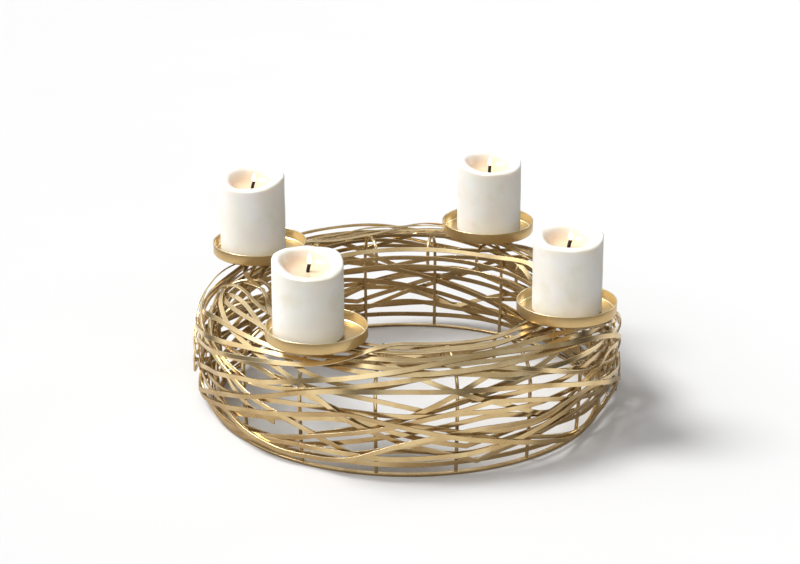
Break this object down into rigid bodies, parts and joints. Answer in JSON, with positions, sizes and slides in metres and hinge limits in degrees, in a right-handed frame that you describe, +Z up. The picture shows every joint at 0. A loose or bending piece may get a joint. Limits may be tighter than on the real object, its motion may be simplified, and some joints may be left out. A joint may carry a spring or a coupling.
{
  "type": "advent candle holder",
  "caption": "Hollow ring woven from folded flat bars over bent ribs, with shallow plates on its crest that carry pillar candles.",
  "frame": {"origin": "centre of the ring on the surface that it stands on", "axes": "+Z up, -Y towards the front, +X to the right seen from the front"},
  "size_m": [0.4468, 0.4364, 0.215],
  "materials": {
    "bars": "satin champagne gold",
    "plates": "satin gold",
    "wax": "ivory wax",
    "wick": "charred cotton"
  },
  "bodies": {
    "holder": {"base_hoop": "bars", "lip_hoop_lower": "bars", "lip_hoop_upper": "bars", "rib_01": "bars", "rib_02": "bars", "rib_03": "bars", "rib_04": "bars", "rib_05": "bars", "rib_06": "bars", "rib_07": "bars", "rib_08": "bars", "rib_09": "bars", "rib_10": "bars", "rib_11": "bars", "rib_12": "bars", "rib_13": "bars", "rib_14": "bars", "rib_15": "bars", "rib_16": "bars", "front_bar_01": "bars", "front_bar_02": "bars", "front_bar_03": "bars", "front_bar_04": "bars", "front_bar_05": "bars", "front_bar_06": "bars", "front_bar_07": "bars", "front_bar_08": "bars", "front_bar_09": "bars", "front_bar_10": "bars", "front_bar_11": "bars", "front_bar_12": "bars", "front_bar_13": "bars", "front_bar_14": "bars", "back_bar_01": "bars", "back_bar_02": "bars", "back_bar_03": "bars", "back_bar_04": "bars", "back_bar_05": "bars", "back_bar_06": "bars", "back_bar_07": "bars", "back_bar_08": "bars", "back_bar_09": "bars", "back_bar_10": "bars", "back_bar_11": "bars", "back_bar_12": "bars", "back_bar_13": "bars", "back_bar_14": "bars", "candle_plate_1": "plates", "candle_plate_2": "plates", "candle_plate_3": "plates", "candle_plate_4": "plates"},
    "front_left_candle": {"candle_1": "wax", "wick_1": "wick"},
    "front_right_candle": {"candle_2": "wax", "wick_2": "wick"},
    "back_right_candle": {"candle_3": "wax", "wick_3": "wick"},
    "back_left_candle": {"candle_4": "wax", "wick_4": "wick"}
  },
  "joints": [
    {"name": "front_left_candle_lift", "type": "slide", "parent": "holder", "child": "front_left_candle", "axis": [0, 0, 1], "range_m": [0, 0.1]},
    {"name": "front_right_candle_lift", "type": "slide", "parent": "holder", "child": "front_right_candle", "axis": [0, 0, 1], "range_m": [0, 0.1]},
    {"name": "back_right_candle_lift", "type": "slide", "parent": "holder", "child": "back_right_candle", "axis": [0, 0, 1], "range_m": [0, 0.1]},
    {"name": "back_left_candle_lift", "type": "slide", "parent": "holder", "child": "back_left_candle", "axis": [0, 0, 1], "range_m": [0, 0.1]}
  ]
}
